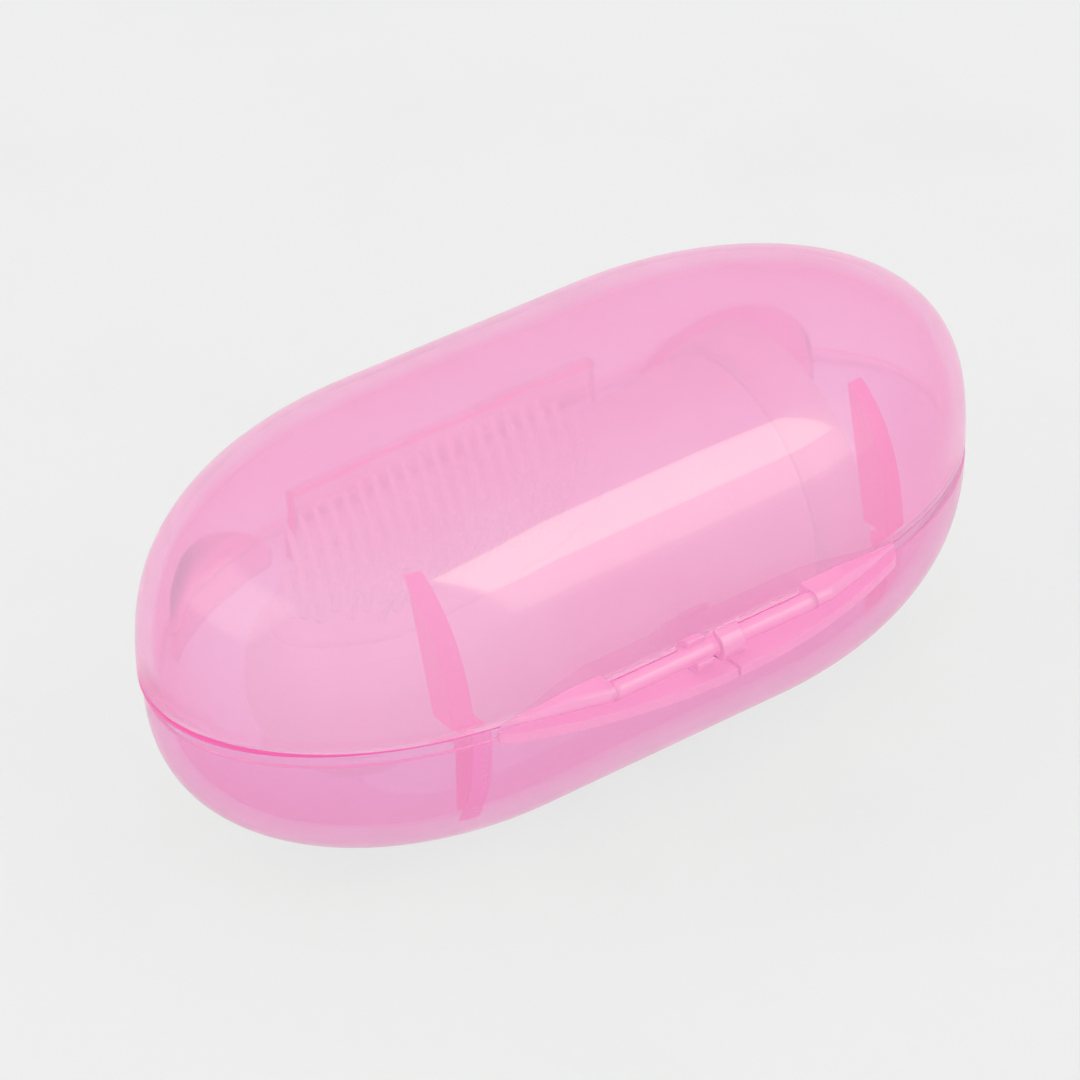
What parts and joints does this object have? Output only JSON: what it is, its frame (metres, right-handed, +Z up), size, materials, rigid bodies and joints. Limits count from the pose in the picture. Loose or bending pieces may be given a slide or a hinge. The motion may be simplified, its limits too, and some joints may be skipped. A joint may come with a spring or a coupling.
{
  "type": "finger toothbrush",
  "caption": "Silicone finger toothbrush with a bristle pad, lying in a rounded translucent pink snap case whose lid swings up on a clipped rod.",
  "frame": {"origin": "on the surface the case stands on, under the middle of its bounding box", "axes": "X along the case, Y from the hinge towards the catch, Z up"},
  "size_m": [0.07, 0.0358, 0.0296],
  "materials": {
    "base_plastic": "translucent milky pink moulded plastic, satin gloss",
    "lid_plastic": "translucent milky pink moulded plastic, satin gloss",
    "silicone": "soft translucent silicone, satin"
  },
  "bodies": {
    "base": {"base_shell": "base_plastic", "base_fin_left": "base_plastic", "base_fin_right": "base_plastic", "base_catch_tongue": "base_plastic", "base_catch_bead": "base_plastic", "base_tab_left": "base_plastic", "base_tab_right": "base_plastic", "hinge_ledge_left": "base_plastic", "hinge_ledge_right": "base_plastic", "hinge_clip_left": "base_plastic", "hinge_clip_right": "base_plastic"},
    "lid": {"lid_shell": "lid_plastic", "lid_fin_left": "lid_plastic", "lid_fin_right": "lid_plastic", "hinge_wing_left": "lid_plastic", "hinge_wing_right": "lid_plastic", "hinge_rod": "lid_plastic"},
    "brush": {"brush_sleeve": "silicone", "brush_cuff": "silicone", "brush_pad": "silicone", "brush_bristles": "silicone"}
  },
  "joints": [
    {"name": "lid_hinge", "type": "hinge", "parent": "base", "child": "lid", "pos_m": [0, -0.0156, 0.01515], "axis": [1, 0, 0], "range_deg": [0, 115]},
    {"name": "brush_lift", "type": "slide", "parent": "base", "child": "brush", "axis": [0, 0, 1], "range_m": [0, 0.036]}
  ],
  "couplings": [
    {"joint": "brush_lift", "follows": "lid_hinge", "m_per_rad": 0.0175}
  ]
}
